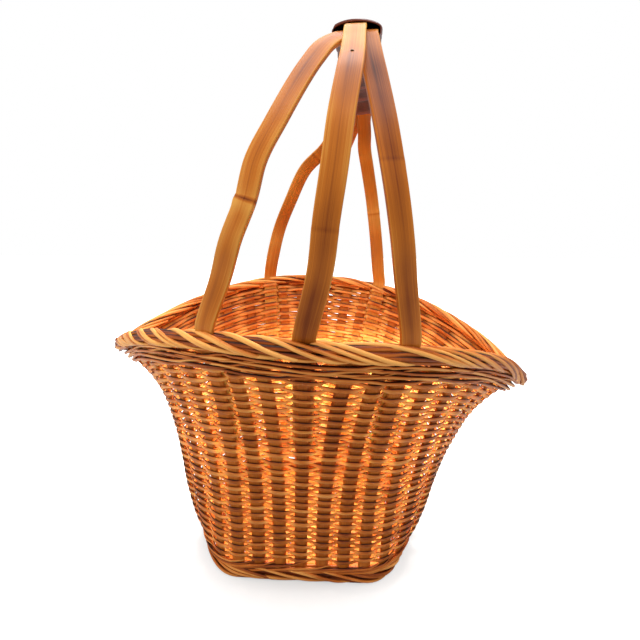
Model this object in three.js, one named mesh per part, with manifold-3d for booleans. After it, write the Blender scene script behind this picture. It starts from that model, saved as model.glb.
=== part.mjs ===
// Mushroom foraging basket: a woven splint body with a saddle shaped mouth and a bamboo handle.
// Millimetres, +Z up, X along the long mouth, Y along the handle.
// The origin is under the middle of the bottom, on the surface that the basket stands on.
import * as THREE from 'three';
import { mergeVertices } from 'three/addons/utils/BufferGeometryUtils.js';
import Module from 'manifold-3d';

const wasm = await Module();
wasm.setup();

// Driving sizes of the body
const baseHalfLength = 88;
const baseHalfWidth = 83;
const baseCornerRadius = 33;
const mouthHalfLength = 215;
const mouthHalfWidth = 157;
const rimHeight = 256;
const tipDrop = 60;
const rimTiltDrop = 12;
const bodyLean = 11.5;

// Weave sizes
const stakeCount = 32;
const stakeWidth = 12;
const stakeThickness = 2;
const wallThickness = 8;
const footHeight = 22;
const waleHeight = 15;
const borderHeight = 14.5;
const borderThickness = 16;
const waleProud = 3;
const footProud = 2.5;
const bottomThickness = 5;
const stakeFootHeight = 3;
const bandCount = 12;
const bandGap = 1.2;
const joinWidth = 2;

// Handle sizes
const stripWidth = 16;
const stripThickness = 4;
const handleHeight = 226;
const handleShift = 37;
const legDepth = 106;
const leatherThickness = 1.8;

// Small fastenings
const bradRadius = 1.7;
const bradHeight = 0.9;
const bradSides = 12;

// Fits
const clearance = 0.3;

// How late the wall leans, how late the rim droops towards the tips, and how its length is shared
const leanPower = 1.4;
const droopPower = 2.6;
const rimSpreadShare = 0.7;
const nearSpreadShare = 0.05;

// Flare of the wall by height: long sides, corners and tips along X, and the whole wall along Y
const heightShares = [0, 0.08, 0.18, 0.3, 0.43, 0.57, 0.7, 0.8, 0.9, 1];
const panelFlareShares = [0, 0, 0, 0.02, 0.07, 0.18, 0.35, 0.52, 0.75, 1];
const cornerFlareShares = [0, 0.265, 0.387, 0.465, 0.512, 0.563, 0.642, 0.737, 0.858, 1];
const tipFlareShares = [0, 0.113, 0.223, 0.323, 0.407, 0.489, 0.57, 0.677, 0.839, 1];
const widthFlareShares = [0, 0.03, 0.08, 0.14, 0.22, 0.35, 0.51, 0.65, 0.81, 1];

// Where along a quarter the long side turns into the corner, and the corner into the tip
const cornerStartShare = 0.4;
const cornerFullShare = 0.75;

// Free stretches of the handle strips: share of the way from foot to crown along X,
// share of the mouth's half width along Y, share of the handle's height along Z
const nearMiddleShares = [
  [0.32, -1.088, 0.215], [0.42, -1.12, 0.345], [0.53, -1.11, 0.466], [0.63, -1.054, 0.6],
  [0.75, -0.943, 0.726], [0.81, -0.782, 0.812], [0.84, -0.656, 0.879],
];
const farMiddleShares = [
  [0.91, 0.76, 0.805], [0.7, 0.87, 0.735], [0.45, 0.965, 0.655], [0.255, 1.028, 0.505],
  [0.08, 1.05, 0.35], [-0.07, 1.036, 0.19],
];
const nearLeftShares = [
  [0.15, -0.902, 0.17], [0.25, -0.953, 0.287], [0.36, -0.959, 0.4], [0.42, -0.927, 0.507],
  [0.54, -0.864, 0.62], [0.67, -0.757, 0.745], [0.75, -0.681, 0.815], [0.83, -0.612, 0.872],
];
const farLeftShares = [
  [0.86, 0.745, 0.78], [0.71, 0.815, 0.704], [0.475, 0.87, 0.61], [0.275, 0.946, 0.448],
  [0.11, 0.95, 0.272], [0.02, 0.87, 0.075],
];
const nearRightShares = [
  [0.23, -0.915, 0.17], [0.37, -0.953, 0.287], [0.52, -0.959, 0.4], [0.66, -0.921, 0.507],
  [0.81, -0.858, 0.62], [0.98, -0.75, 0.745], [1.08, -0.681, 0.815], [1.14, -0.612, 0.872],
];
const farRightShares = [
  [0.87, 0.745, 0.776], [0.85, 0.793, 0.713], [0.67, 0.872, 0.61], [0.41, 0.943, 0.446],
  [0.17, 0.936, 0.215], [0.06, 0.865, 0.04],
];

// The crown, where the strips lie together: shares of handle shift, half width and height
const crownShares = [
  [0.866, -0.55, 0.934], [0.885, -0.5, 0.95], [0.92, -0.36, 0.977], [0.96, -0.19, 0.995],
  [1, 0, 1.004], [1.02, 0.19, 0.997], [1.03, 0.36, 0.972], [1.04, 0.5, 0.937],
  [1.05, 0.62, 0.883], [1.05, 0.675, 0.851],
];
const bradPlaceShare = 0.735;

// Turns are counted in quarters from the middle of the near long side towards the +X tip
const quarterTurns = 4;
const turnPerStake = quarterTurns / stakeCount;
const sideLegTurn = 3 * turnPerStake;
const farMiddleTurn = 2;
const turnStep = 0.01;
const levelStep = 0.01;

// Offsets from the middle of the wall, outward positive
const wallOuter = wallThickness / 2;
const wallInner = -wallThickness / 2;
const stakeInner = -stakeThickness / 2;
const stakeOuter = stakeThickness / 2;
const channelFloor = stakeOuter + clearance;
const legOuter = stakeInner - 2 * clearance;
const legInner = legOuter - stripThickness;

// Levels are shares of the rim's height
const gapLevel = clearance / rimHeight;
const footTopLevel = footHeight / rimHeight;
const borderBottomLevel = 1 - borderHeight / rimHeight;
const waleBottomLevel = borderBottomLevel - waleHeight / rimHeight;
const waleMiddleLevel = (waleBottomLevel + borderBottomLevel) / 2;
const legFootLevel = 1 - legDepth / rimHeight;
const stakeFootLevel = stakeFootHeight / rimHeight;
const bandShares = Array.from({ length: bandCount + 1 }, (_, i) => i / bandCount);
const bandFootLevel = footTopLevel + 2 * gapLevel;
const bandTopLevel = waleBottomLevel - gapLevel;
const bandLevels = bandShares.map((share) => bandFootLevel + (bandTopLevel - bandFootLevel) * share);
const bandGapLevel = bandGap / rimHeight;

const woodColour = 0xc8935a;
const stakeColour = 0xb98149;
const rimColour = 0xd2a467;
const bambooColour = 0xc99a67;
const leatherColour = 0x4a2c22;
const brassColour = 0x6b5a3c;

const basket = new THREE.Group();

function addPiece(name, geometry, colour, metalness = 0, roughness = 0.7) {
  const material = new THREE.MeshStandardMaterial({ color: colour, metalness, roughness });
  const piece = new THREE.Mesh(geometry, material);
  piece.name = name;
  basket.add(piece);
}

// A smooth curve through a table that never overshoots it
function monotoneCurve(places, values) {
  const last = places.length - 1;
  const rates = values.slice(1).map((value, i) => (value - values[i]) / (places[i + 1] - places[i]));
  const slopes = values.map((value, i) => {
    if (i === 0) return rates[0];
    if (i === last) return rates[last - 1];
    const before = rates[i - 1];
    const after = rates[i];
    return before * after <= 0 ? 0 : (2 * before * after) / (before + after);
  });
  return (place) => {
    const x = Math.min(Math.max(place, places[0]), places[last]);
    let i = 0;
    while (i < last - 1 && x > places[i + 1]) i += 1;
    const step = places[i + 1] - places[i];
    const s = (x - places[i]) / step;
    const rise = s * s * (3 - 2 * s);
    const leave = s * (1 - s) * (1 - s) * slopes[i];
    const arrive = s * s * (s - 1) * slopes[i + 1];
    return values[i] * (1 - rise) + values[i + 1] * rise + step * (leave + arrive);
  };
}

const panelFlare = monotoneCurve(heightShares, panelFlareShares);
const cornerFlare = monotoneCurve(heightShares, cornerFlareShares);
const tipFlare = monotoneCurve(heightShares, tipFlareShares);
const widthFlare = monotoneCurve(heightShares, widthFlareShares);

// A quarter of the bottom's outline, from the middle of the near side to the +X end
const baseQuarter = new THREE.Path();
baseQuarter.moveTo(0, -baseHalfWidth);
baseQuarter.lineTo(baseHalfLength - baseCornerRadius, -baseHalfWidth);
baseQuarter.absarc(
  baseHalfLength - baseCornerRadius, baseCornerRadius - baseHalfWidth, baseCornerRadius, -Math.PI / 2, 0);
baseQuarter.lineTo(baseHalfLength, 0);

// A quarter of the mouth's outline, half of a parabola, so the two long sides meet in pointed tips
class MouthQuarter extends THREE.Curve {
  getPoint(share, target = new THREE.Vector2()) {
    return target.set(mouthHalfLength * share, -mouthHalfWidth * (1 - share * share));
  }
}
const mouthQuarter = new MouthQuarter();
mouthQuarter.arcLengthDivisions = 600;

function smoothStep(value, from, to) {
  return THREE.MathUtils.smoothstep(value, from, to);
}

// A point on the middle of the wall, by turn and level
function surfacePoint(turn, level) {
  const wrapped = ((turn % quarterTurns) + quarterTurns) % quarterTurns;
  const quarter = Math.floor(wrapped);
  const share = quarter % 2 === 0 ? wrapped - quarter : 1 - (wrapped - quarter);
  const signX = quarter < 2 ? 1 : -1;
  const signY = quarter === 0 || quarter === 3 ? 1 : -1;
  const base = baseQuarter.getPoint(share);
  const bulge = nearSpreadShare * Math.sin(Math.PI * Math.min(1, share / sideLegTurn)) ** 2;
  const mouth = mouthQuarter.getPointAt(rimSpreadShare * share + (1 - rimSpreadShare) * share ** 3 + bulge);
  const cornerWeight = smoothStep(share, cornerStartShare, cornerFullShare);
  const tipWeight = Math.max(0, (share - cornerFullShare) / (1 - cornerFullShare));
  const sideFlare = panelFlare(level) * (1 - cornerWeight) + cornerFlare(level) * cornerWeight;
  const flareX = sideFlare * (1 - tipWeight) + tipFlare(level) * tipWeight;
  const x = base.x + (mouth.x - base.x) * flareX;
  const y = base.y + (mouth.y - base.y) * widthFlare(level);
  const along = (signX * mouth.x) / mouthHalfLength;
  const height = rimHeight - tipDrop * Math.abs(along) ** droopPower - rimTiltDrop * along;
  const lean = bodyLean * Math.max(0, level) ** leanPower;
  return new THREE.Vector3(signX * x + lean, signY * y, height * level);
}

// The wall's directions at a point: sideways along the weave, up the wall and outward
function surfaceFrame(turn, level) {
  const point = surfacePoint(turn, level);
  const side = surfacePoint(turn + turnStep, level).sub(surfacePoint(turn - turnStep, level)).normalize();
  const rise = surfacePoint(turn, level + levelStep).sub(surfacePoint(turn, level - levelStep)).normalize();
  const square = new THREE.Vector3().crossVectors(side, rise).normalize();
  const flat = new THREE.Vector3(side.y, -side.x, 0).normalize();
  const out = flat.lerp(square, smoothStep(level, 0, footTopLevel)).normalize();
  return { point, side, rise, out };
}

function place(frame, across, outward) {
  return frame.point.clone().addScaledVector(frame.side, across).addScaledVector(frame.out, outward);
}

function geometryFrom(points, triangles) {
  const geometry = new THREE.BufferGeometry();
  geometry.setAttribute('position', new THREE.Float32BufferAttribute(points.flatMap((p) => p.toArray()), 3));
  geometry.setIndex(triangles);
  geometry.computeVertexNormals();
  return geometry;
}

function addQuad(triangles, a, b, c, d) {
  triangles.push(a, b, c, a, c, d);
}

// A bar through a list of sections, each a closed polygon with as many points, closed at both ends
function barGeometry(sections) {
  const count = sections[0].length;
  const points = sections.flat();
  const triangles = [];
  for (let i = 0; i < sections.length - 1; i += 1) {
    for (let j = 0; j < count; j += 1) {
      const next = (j + 1) % count;
      addQuad(triangles, i * count + j, (i + 1) * count + j, (i + 1) * count + next, i * count + next);
    }
  }
  const end = (sections.length - 1) * count;
  for (let j = 1; j < count - 1; j += 1) {
    triangles.push(0, j, j + 1);
    triangles.push(end, end + j + 1, end + j);
  }
  return geometryFrom(points, triangles);
}

// A ring of wall between levels, with a channel for each stake open on its inner side
function notchedRing(levels, outerOffsets, innerOffset) {
  const halfMouth = stakeWidth / 2 + clearance;
  const points = [];
  const outerCount = 3;
  const innerCount = 5;
  const perStake = outerCount + innerCount;
  levels.forEach((level, i) => {
    for (let k = 0; k < stakeCount; k += 1) {
      const stake = surfaceFrame(k * turnPerStake, level);
      const between = surfaceFrame((k + 0.5) * turnPerStake, level);
      points.push(place(stake, -halfMouth, outerOffsets[i]));
      points.push(place(stake, halfMouth, outerOffsets[i]));
      points.push(place(between, 0, outerOffsets[i]));
      points.push(place(stake, -halfMouth, innerOffset));
      points.push(place(stake, -halfMouth, channelFloor));
      points.push(place(stake, halfMouth, channelFloor));
      points.push(place(stake, halfMouth, innerOffset));
      points.push(place(between, 0, innerOffset));
    }
  });
  const index = (i, k, j) => i * stakeCount * perStake + (k % stakeCount) * perStake + j;
  const outer = (i, k, j) => index(i, k + Math.floor(j / outerCount), j % outerCount);
  const inner = (i, k, j) => index(i, k + Math.floor(j / innerCount), outerCount + (j % innerCount));
  const triangles = [];
  for (let i = 0; i < levels.length - 1; i += 1) {
    for (let k = 0; k < stakeCount; k += 1) {
      for (let j = 0; j < outerCount; j += 1) {
        addQuad(triangles, outer(i, k, j), outer(i, k, j + 1), outer(i + 1, k, j + 1), outer(i + 1, k, j));
      }
      for (let j = 0; j < innerCount; j += 1) {
        addQuad(triangles, inner(i, k, j + 1), inner(i, k, j), inner(i + 1, k, j), inner(i + 1, k, j + 1));
      }
    }
  }
  for (let k = 0; k < stakeCount; k += 1) {
    const faces = [
      [outer(0, k, 0), inner(0, k, 0), inner(0, k, 1)],
      [outer(0, k, 0), inner(0, k, 1), inner(0, k, 2)],
      [outer(0, k, 0), inner(0, k, 2), outer(0, k, 1)],
      [outer(0, k, 1), inner(0, k, 2), inner(0, k, 3)],
      [outer(0, k, 1), inner(0, k, 3), inner(0, k, 4)],
      [outer(0, k, 1), inner(0, k, 4), outer(0, k, 2)],
      [outer(0, k, 2), inner(0, k, 4), inner(0, k, 5)],
      [outer(0, k, 2), inner(0, k, 5), outer(0, k, 3)],
    ];
    const top = index(levels.length - 1, 0, 0);
    for (const [a, b, c] of faces) {
      triangles.push(a, b, c);
      triangles.push(top + a, top + c, top + b);
    }
  }
  return geometryFrom(points, triangles);
}

function solidFrom(geometry) {
  const bare = geometry.clone();
  bare.deleteAttribute('normal');
  const merged = mergeVertices(bare);
  const vertProperties = new Float32Array(merged.attributes.position.array);
  const triVerts = new Uint32Array(merged.index.array);
  return new wasm.Manifold(new wasm.Mesh({ numProp: 3, vertProperties, triVerts }));
}

function geometryOf(solid) {
  const mesh = solid.getMesh();
  const geometry = new THREE.BufferGeometry();
  geometry.setAttribute('position', new THREE.Float32BufferAttribute(mesh.vertProperties, 3));
  geometry.setIndex(Array.from(mesh.triVerts));
  geometry.computeVertexNormals();
  return geometry;
}

// The border rod bundle round the mouth, a thick rounded section above the wale
function borderGeometry() {
  const halfThickness = borderThickness / 2;
  const corner = borderHeight / 4;
  const section = [
    [-halfThickness, corner], [-halfThickness, borderHeight - corner],
    [-halfThickness + corner, borderHeight], [halfThickness - corner, borderHeight],
    [halfThickness, borderHeight - corner], [halfThickness, corner],
    [halfThickness - corner, clearance], [-halfThickness + corner, clearance],
  ];
  const halfMouth = stakeWidth / 2 + clearance;
  const points = [];
  for (let k = 0; k < stakeCount; k += 1) {
    const places = [[k, -halfMouth], [k, halfMouth], [k + 0.5, 0]];
    for (const [stake, across] of places) {
      const foot = surfaceFrame(stake * turnPerStake, borderBottomLevel);
      const top = surfaceFrame(stake * turnPerStake, 1);
      for (const [outward, up] of section) {
        const low = place(foot, across, outward);
        points.push(low.lerp(place(top, across, outward), up / borderHeight));
      }
    }
  }
  const count = section.length;
  const stations = points.length / count;
  const triangles = [];
  for (let i = 0; i < stations; i += 1) {
    const after = (i + 1) % stations;
    for (let j = 0; j < count; j += 1) {
      const next = (j + 1) % count;
      addQuad(triangles, i * count + j, i * count + next, after * count + next, after * count + j);
    }
  }
  return geometryFrom(points, triangles);
}

// A flat section of a strip or stake in a frame
function flatSection(frame, width, inward, outward, shift = 0) {
  return [
    place(frame, shift - width / 2, inward), place(frame, shift + width / 2, inward),
    place(frame, shift + width / 2, outward), place(frame, shift - width / 2, outward),
  ];
}

// The crown's frames, shared by the strips and the leather grip
const crownPoints = crownShares.map(([x, y, z]) => new THREE.Vector3(
  bodyLean + handleShift * x, mouthHalfWidth * y, rimHeight + handleHeight * z - stripThickness / 2));
const crownCurve = new THREE.CatmullRomCurve3(crownPoints, false, 'centripetal');
const crownFrames = crownPoints.map((point, i) => {
  const rise = crownCurve.getTangent(i / (crownPoints.length - 1));
  const side = new THREE.Vector3(rise.y, -rise.x, 0).normalize();
  const out = new THREE.Vector3().crossVectors(side, rise).normalize();
  return { point, side, rise, out };
});

function shiftedFrame(frame, across, outward) {
  return { ...frame, point: place(frame, across, outward) };
}

// Frames of a leg inside the wall and border, from its foot up to the rim
const legLevels = [
  legFootLevel + 2 * gapLevel,
  ...bandLevels.filter((level) => level > legFootLevel + 2 * gapLevel),
  waleMiddleLevel,
  borderBottomLevel,
  1,
];

function legFrames(turn) {
  const middle = (legInner + legOuter) / 2;
  return legLevels.map((level) => shiftedFrame(surfaceFrame(turn, level), 0, middle));
}

// The free stretch between two ends, through points given as shares
function freeFrames(before, after, shares, footX, crownX) {
  const points = shares.map(([x, y, z]) => new THREE.Vector3(
    footX + (crownX - footX) * x, mouthHalfWidth * y, rimHeight + handleHeight * z));
  const line = [before[before.length - 2], before[before.length - 1]].map((frame) => frame.point);
  line.push(...points, after[0].point, after[1].point);
  const curve = new THREE.CatmullRomCurve3(line, false, 'centripetal');
  const last = line.length - 1;
  const stepsPerPoint = 2;
  const frames = [];
  const startSide = before[before.length - 1].side;
  const endSide = after[0].side;
  const total = (last - 2) * stepsPerPoint;
  for (let i = 1; i < total; i += 1) {
    const share = (1 + i / stepsPerPoint) / last;
    const point = curve.getPoint(share);
    const rise = curve.getTangent(share);
    const side = startSide.clone().lerp(endSide, smoothStep(i / total, 0, 1));
    side.addScaledVector(rise, -side.dot(rise)).normalize();
    const out = new THREE.Vector3().crossVectors(side, rise).normalize();
    frames.push({ point, side, rise, out });
  }
  return frames;
}

// The whole path of one strip, from its near foot over the crown to its far foot
function stripFrames(nearTurn, farTurn, nearShares, farShares, across, outward) {
  const near = legFrames(nearTurn);
  const far = legFrames(farTurn).reverse();
  for (const frame of far) frame.side.negate();
  const crown = crownFrames.map((frame) => shiftedFrame(frame, across, outward));
  const crownX = bodyLean + handleShift + across;
  const nearFree = freeFrames(near, crown, nearShares, near[near.length - 1].point.x, crownX);
  const farFree = freeFrames(crown, far, farShares, far[0].point.x, crownX);
  return { nearFree, all: [...near, ...nearFree, ...crown, ...farFree, ...far] };
}

const layLow = -(stripThickness + clearance) / 2;
const layHigh = -layLow;
const layAside = (stripWidth + clearance) / 2;
const strips = [
  ['handle_strip_middle', stripFrames(0, farMiddleTurn, nearMiddleShares, farMiddleShares, 0, layHigh)],
  ['handle_strip_left', stripFrames(
    -sideLegTurn, 2 + sideLegTurn, nearLeftShares, farLeftShares, -layAside, layLow)],
  ['handle_strip_right', stripFrames(
    sideLegTurn, 2 - sideLegTurn, nearRightShares, farRightShares, layAside, layLow)],
];

function stripGeometry(frames) {
  return barGeometry(frames.map((frame) => flatSection(
    frame, stripWidth, -stripThickness / 2, stripThickness / 2)));
}

// The pocket that one leg needs in the wale and border, open at the top
function pocketSolid(turn) {
  const frames = legFrames(turn);
  const rim = frames[frames.length - 1];
  const above = { ...rim, point: rim.point.clone().addScaledVector(rim.rise, borderHeight) };
  const foot = frames[0];
  const below = { ...foot, point: foot.point.clone().addScaledVector(foot.rise, -clearance) };
  const path = [below, ...frames.slice(1), above];
  const geometry = barGeometry(path.map((frame) => flatSection(
    frame, stripWidth + 2 * clearance,
    -stripThickness / 2 - clearance, stripThickness / 2 + clearance)));
  return solidFrom(geometry);
}

const legTurns = [0, sideLegTurn, -sideLegTurn, farMiddleTurn, 2 - sideLegTurn, 2 + sideLegTurn];
const pockets = legTurns.map(pocketSolid);

function cutByLegs(geometry) {
  return geometryOf(pockets.reduce((solid, pocket) => solid.subtract(pocket), solidFrom(geometry)));
}

// The woven wall: broad bands that pass outside one stake and inside the next, and join
// between the stakes. The legs of the handle take the place of the inner bands that they cross
const legStakes = legTurns.map((turn) => Math.round((turn + quarterTurns) / turnPerStake) % stakeCount);

function wovenGeometry() {
  const halfMouth = stakeWidth / 2 + clearance;
  const halfJoin = joinWidth / 2;
  const points = [];
  const triangles = [];
  const add = (frame, across, outward) => points.push(place(frame, across, outward)) - 1;
  const corners = (frame, across) => (
    [add(frame, across, stakeOuter), add(frame, across, stakeInner)]);
  const joins = Array.from({ length: stakeCount }, (_, k) => bandLevels.map((level) => {
    const frame = surfaceFrame((k + 0.5) * turnPerStake, level);
    return { left: corners(frame, -halfJoin), right: corners(frame, halfJoin) };
  }));
  for (const join of joins) {
    const bottom = join[0];
    const top = join[bandCount];
    addQuad(triangles, bottom.left[0], bottom.left[1], bottom.right[1], bottom.right[0]);
    addQuad(triangles, top.left[0], top.right[0], top.right[1], top.left[1]);
    for (let i = 0; i < bandCount; i += 1) {
      const { left, right } = join[i];
      const above = join[i + 1];
      addQuad(triangles, left[0], right[0], above.right[0], above.left[0]);
      addQuad(triangles, right[1], left[1], above.left[1], above.right[1]);
    }
  }
  for (let k = 0; k < stakeCount; k += 1) {
    const before = joins[(k + stakeCount - 1) % stakeCount];
    for (let i = 0; i < bandCount; i += 1) {
      const start = [before[i].right[0], before[i + 1].right[0], before[i + 1].right[1], before[i].right[1]];
      const { [i]: low, [i + 1]: high } = joins[k];
      const finish = [low.left[0], high.left[0], high.left[1], low.left[1]];
      const outside = (k + i) % 2 === 0;
      if (!outside && legStakes.includes(k) && bandLevels[i + 1] > legFootLevel) {
        addQuad(triangles, start[0], start[3], start[2], start[1]);
        addQuad(triangles, ...finish);
        continue;
      }
      const outer = outside ? wallOuter : -channelFloor;
      const inner = outside ? channelFloor : wallInner;
      const lowFrame = surfaceFrame(k * turnPerStake, bandLevels[i] + bandGapLevel);
      const highFrame = surfaceFrame(k * turnPerStake, bandLevels[i + 1] - bandGapLevel);
      const sections = [-halfMouth, halfMouth].map((across) => [
        add(lowFrame, across, outer), add(highFrame, across, outer),
        add(highFrame, across, inner), add(lowFrame, across, inner),
      ]);
      const path = [start, ...sections, finish];
      for (let n = 0; n < path.length - 1; n += 1) {
        const here = path[n];
        const there = path[n + 1];
        for (let j = 0; j < here.length; j += 1) {
          const next = (j + 1) % here.length;
          addQuad(triangles, here[j], there[j], there[next], here[next]);
        }
      }
    }
  }
  return geometryFrom(points, triangles);
}

// Bottom mat, inside the foot border
function bottomGeometry() {
  const inset = wallThickness / 2 + clearance;
  const halfLength = baseHalfLength - inset;
  const halfWidth = baseHalfWidth - inset;
  const radius = baseCornerRadius - inset;
  const outline = new THREE.Shape();
  outline.moveTo(radius - halfLength, -halfWidth);
  outline.absarc(halfLength - radius, radius - halfWidth, radius, -Math.PI / 2, 0);
  outline.absarc(halfLength - radius, halfWidth - radius, radius, 0, Math.PI / 2);
  outline.absarc(radius - halfLength, halfWidth - radius, radius, Math.PI / 2, Math.PI);
  outline.absarc(radius - halfLength, radius - halfWidth, radius, Math.PI, 1.5 * Math.PI);
  const options = { depth: bottomThickness, bevelEnabled: false, curveSegments: 8 };
  return new THREE.ExtrudeGeometry(outline, options);
}

// Body rings
const footOuter = wallOuter + footProud;
const waleOuter = wallOuter + waleProud;
const footLevels = [0, stakeFootLevel, (2 * footTopLevel) / 3, footTopLevel];
const waleLevels = [waleBottomLevel + gapLevel, waleMiddleLevel, borderBottomLevel];

addPiece('bottom_mat', bottomGeometry(), stakeColour);
const footRing = notchedRing(footLevels, [wallOuter, footOuter, footOuter, wallOuter], wallInner);
const waleRing = notchedRing(waleLevels, [wallOuter, waleOuter, waleOuter], wallInner);
addPiece('foot_border', footRing, rimColour);
addPiece('woven_wall', wovenGeometry(), woodColour);
addPiece('wale_band', cutByLegs(waleRing), rimColour);
addPiece('rim_border', cutByLegs(borderGeometry()), rimColour);

// Stakes, each in its channel from the foot border up to the rim border
const stakeLevels = [
  ...footLevels.slice(1), ...bandLevels.slice(1), waleMiddleLevel, borderBottomLevel - gapLevel,
];
for (let k = 0; k < stakeCount; k += 1) {
  const sections = stakeLevels.map((level) => flatSection(
    surfaceFrame(k * turnPerStake, level), stakeWidth, stakeInner, stakeOuter));
  addPiece(`stake_${String(k + 1).padStart(2, '0')}`, barGeometry(sections), stakeColour);
}

for (const [name, path] of strips) addPiece(name, stripGeometry(path.all), bambooColour);

// Leather grip, a sleeve round the three strips that leaves the crown's first and last frames bare
const gripFrames = crownFrames.slice(1, -1);
function gripGeometry() {
  const lowInner = layLow - stripThickness / 2 - clearance;
  const highInner = layHigh + stripThickness / 2 + clearance;
  const wideInner = layAside + stripWidth / 2 + clearance;
  const narrowInner = stripWidth / 2 + 2 * clearance;
  const inner = [
    [-wideInner, lowInner], [wideInner, lowInner], [wideInner, clearance],
    [narrowInner, highInner], [-narrowInner, highInner], [-wideInner, clearance],
  ];
  const wide = wideInner + leatherThickness;
  const outer = [
    [-wide, lowInner - leatherThickness], [wide, lowInner - leatherThickness],
    [wide, clearance + leatherThickness / 2],
    [narrowInner + leatherThickness / 2, highInner + leatherThickness],
    [-narrowInner - leatherThickness / 2, highInner + leatherThickness],
    [-wide, clearance + leatherThickness / 2],
  ];
  const count = inner.length;
  const points = [];
  for (const frame of gripFrames) {
    for (const [across, outward] of outer) points.push(place(frame, across, outward));
    for (const [across, outward] of inner) points.push(place(frame, across, outward));
  }
  const triangles = [];
  const ring = 2 * count;
  for (let j = 0; j < count; j += 1) {
    const next = (j + 1) % count;
    for (let i = 0; i < gripFrames.length - 1; i += 1) {
      const a = i * ring;
      const b = (i + 1) * ring;
      addQuad(triangles, a + j, b + j, b + next, a + next);
      addQuad(triangles, a + count + j, a + count + next, b + count + next, b + count + j);
    }
    const end = (gripFrames.length - 1) * ring;
    addQuad(triangles, j, next, count + next, count + j);
    addQuad(triangles, end + j, end + count + j, end + count + next, end + next);
  }
  return geometryFrom(points, triangles);
}
addPiece('grip_wrap', gripGeometry(), leatherColour, 0, 0.6);

// A brad head on the middle strip, just below the grip
function bradGeometry(frame) {
  const geometry = new THREE.CylinderGeometry(bradRadius, bradRadius, bradHeight, bradSides);
  const turn = new THREE.Quaternion().setFromUnitVectors(new THREE.Vector3(0, 1, 0), frame.out);
  const centre = place(frame, 0, stripThickness / 2 + clearance + bradHeight / 2);
  geometry.applyQuaternion(turn);
  geometry.translate(centre.x, centre.y, centre.z);
  return geometry;
}
const { nearFree } = strips[0][1];
const bradFrame = nearFree[Math.round(bradPlaceShare * nearFree.length)];
addPiece('brad_near', bradGeometry(bradFrame), brassColour, 1, 0.4);

export default basket;
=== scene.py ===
import math
import random

import bpy
import numpy as np
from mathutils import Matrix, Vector


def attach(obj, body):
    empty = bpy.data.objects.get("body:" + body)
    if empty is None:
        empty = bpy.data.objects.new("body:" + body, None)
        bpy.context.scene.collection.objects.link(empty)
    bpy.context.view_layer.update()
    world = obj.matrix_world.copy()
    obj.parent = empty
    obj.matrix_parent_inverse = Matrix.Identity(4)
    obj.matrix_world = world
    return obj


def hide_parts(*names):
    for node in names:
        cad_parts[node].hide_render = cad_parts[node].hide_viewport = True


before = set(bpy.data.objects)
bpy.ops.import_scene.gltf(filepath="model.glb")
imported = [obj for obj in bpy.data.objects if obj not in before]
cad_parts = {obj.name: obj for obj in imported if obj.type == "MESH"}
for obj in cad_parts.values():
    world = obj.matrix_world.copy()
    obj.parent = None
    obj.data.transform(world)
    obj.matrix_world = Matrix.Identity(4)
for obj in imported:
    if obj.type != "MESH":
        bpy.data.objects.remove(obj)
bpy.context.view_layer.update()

# A handmade basket with a wide pointed mouth and a strap handle. Wall and borders are mesh
# tubes along the woven surface, because no modelling operator weaves. Lengths are in metres.
mm = 0.001

# Body, as in the solids
BASE_HALF_LENGTH = 88 * mm
BASE_HALF_WIDTH = 83 * mm
BASE_CORNER = 33 * mm
MOUTH_HALF_LENGTH = 215 * mm
MOUTH_HALF_WIDTH = 157 * mm
RIM_MM = 256
RIM_HEIGHT = RIM_MM * mm
TIP_DROP = 60 * mm
RIM_TILT = 12 * mm
BODY_LEAN = 11.5 * mm
LEAN_POWER = 1.4
DROOP_POWER = 2.6
RIM_SPREAD = 0.7
NEAR_SPREAD = 0.05
CORNER_START = 0.4
CORNER_FULL = 0.75
HEIGHT_SHARES = [0, 0.08, 0.18, 0.3, 0.43, 0.57, 0.7, 0.8, 0.9, 1]
PANEL_SHARES = [0, 0, 0, 0.02, 0.07, 0.18, 0.35, 0.52, 0.75, 1]
CORNER_SHARES = [0, 0.265, 0.387, 0.465, 0.512, 0.563, 0.642, 0.737, 0.858, 1]
TIP_SHARES = [0, 0.113, 0.223, 0.323, 0.407, 0.489, 0.57, 0.677, 0.839, 1]
WIDTH_SHARES = [0, 0.03, 0.08, 0.14, 0.22, 0.35, 0.51, 0.65, 0.81, 1]

# Bands up the wall, as shares of the rim's height
FOOT_TOP = 22 / RIM_MM
BORDER_BOTTOM = 1 - 14.5 / RIM_MM
WALE_BOTTOM = BORDER_BOTTOM - 15 / RIM_MM
STAKE_FOOT = 3 / RIM_MM
LEG_FOOT = 1 - 106 / RIM_MM
FOOT_AXIS = 8 / RIM_MM
RIM_AXIS = (1 + BORDER_BOTTOM) / 2

# Weave
QUARTERS = 4
STAKES = 32
STAKES_PER_TURN = STAKES / QUARTERS
STAKE_WIDTH = 12 * mm
STAKE_THICKNESS = 2 * mm
ROWS = 50
ROW_OVERLAP = 1.12
ROD_HALF_THICKNESS = 0.75 * mm
WEAVE_DEPTH = 1.8 * mm
LEG_DEPTH = 4.6 * mm
WOBBLE = 0.6 * mm
# Samples round the basket, for each stake, and along the lines that the borders follow
ROW_SAMPLES = 10
RING_SAMPLES = 8
LINE_SAMPLES = 1601
# Rods are squeezed slimmer between the stakes, most on the near side
SLIM_SHARE = 0.34
FAR_THICK_SHARE = 0.06
# The weave goes on behind the wale for a few rows
HIDDEN_ROWS = 6
# Painted shade darkens the crease along the upper edge of each row, counted round the rod
CREASE_SHADE_TONES = np.array([0.05, -0.1, -0.8, -0.5, 0, 0, -0.1, 0.05])
# Painted light: the far wall is painted paler inside, in place of light falling on its inner face
INSIDE_LIGHT_TONES = np.array([0, 0, 0.1, 0.15, 0.15, 0.15, 0.1, 0])

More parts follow.
